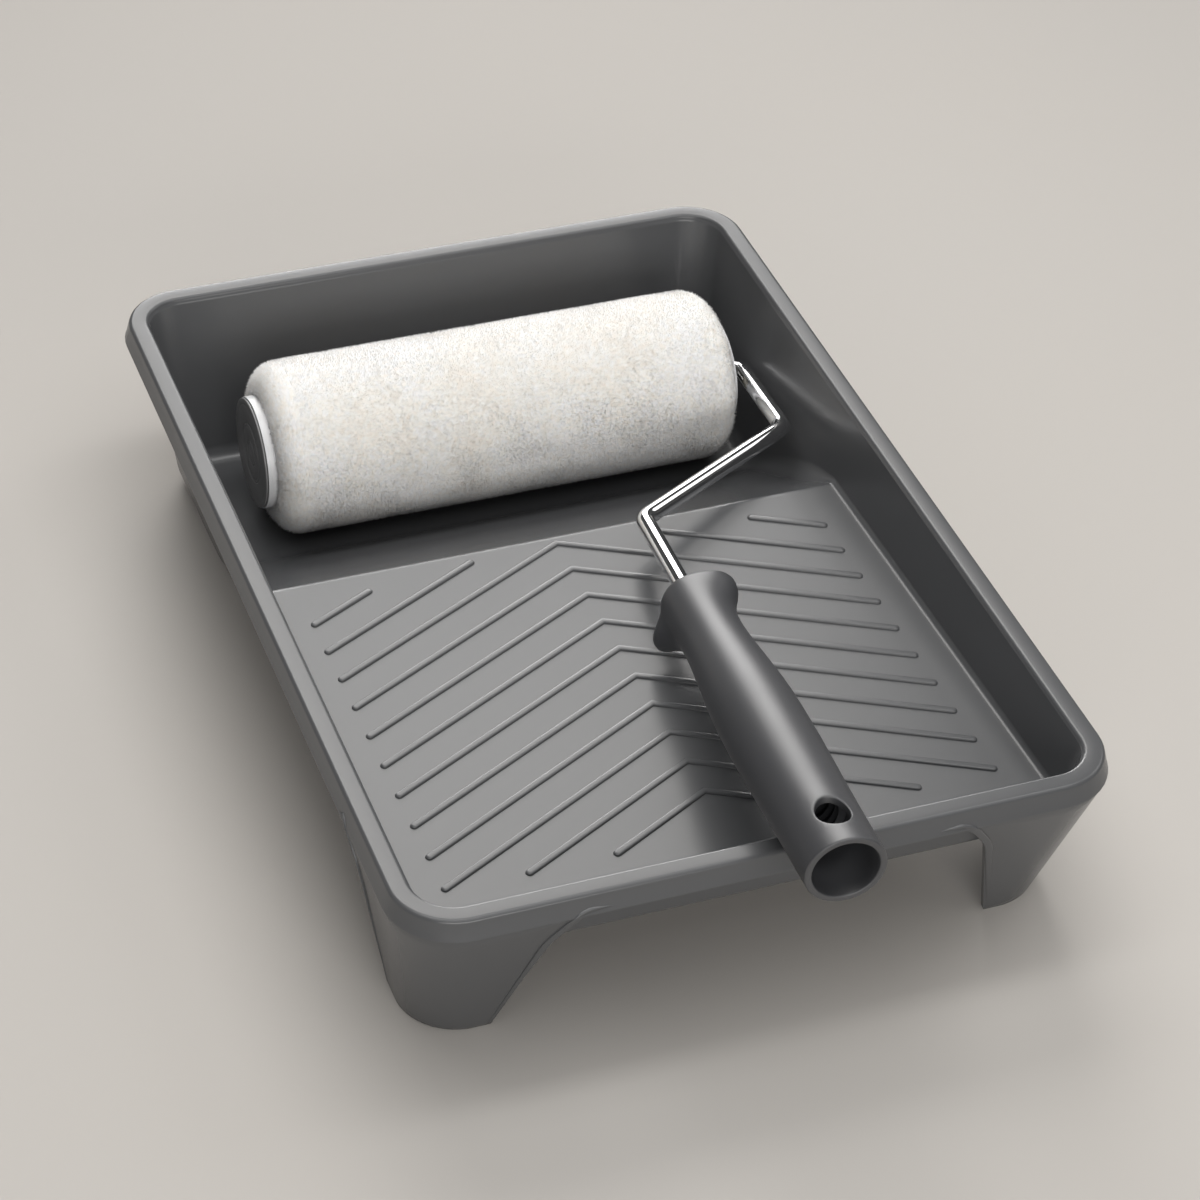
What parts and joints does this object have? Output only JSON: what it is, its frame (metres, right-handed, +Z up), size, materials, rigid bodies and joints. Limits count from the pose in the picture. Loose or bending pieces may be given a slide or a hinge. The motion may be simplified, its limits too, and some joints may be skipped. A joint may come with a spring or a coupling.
{
  "type": "paint roller tray",
  "caption": "Moulded paint tray with a deep well, ribbed bed and corner legs, holding a plush sleeve on a caged frame with a bent chrome rod and a hollow grip.",
  "frame": {"origin": "centre of the underside of the paint well, on the surface the tray stands on", "axes": "+Y along the tray from the shallow end to the deep end, +X along the roller towards the side where the rod leaves it, +Z up"},
  "size_m": [0.2906, 0.4682, 0.1212],
  "materials": {
    "tray_plastic": "moulded, satin",
    "cap_plastic": "moulded, satin",
    "cover_plastic": "moulded, matte",
    "grip_plastic": "moulded, satin",
    "core_plastic": "extruded, satin",
    "nylon": "moulded, natural",
    "insert_nylon": "moulded, satin",
    "pile": "deep plush",
    "chrome": "bright plated",
    "spring_steel": "drawn"
  },
  "bodies": {
    "tray": {"tray_shell": "tray_plastic"},
    "thrust_washers": {"outer_washer": "spring_steel", "inner_washer": "spring_steel"},
    "frame": {"frame_rod": "chrome", "push_nut": "spring_steel", "handle_grip": "grip_plastic", "pole_thread_insert": "insert_nylon"},
    "roller": {"sleeve_core": "core_plastic", "sleeve_pile": "pile", "outer_end_cap": "cap_plastic", "outer_cap_cover": "cover_plastic", "inner_end_cap": "cap_plastic", "outer_bearing": "nylon", "inner_bearing": "nylon", "cage_wire_1": "spring_steel", "cage_wire_2": "spring_steel", "cage_wire_3": "spring_steel", "cage_wire_4": "spring_steel", "cage_wire_5": "spring_steel", "cage_spider_1": "core_plastic", "cage_spider_2": "core_plastic"}
  },
  "joints": [
    {"name": "tool_lift", "type": "slide", "parent": "tray", "child": "thrust_washers", "axis": [0, 0, 1], "range_m": [0, 0.15]},
    {"name": "handle_tilt", "type": "hinge", "parent": "thrust_washers", "child": "frame", "pos_m": [0, -0.013, 0.0414], "axis": [-1, 0, 0], "range_deg": [0, 80]},
    {"name": "roller_spin", "type": "hinge", "parent": "thrust_washers", "child": "roller", "pos_m": [0, -0.013, 0.0414], "axis": [1, 0, 0], "continuous": true}
  ]
}
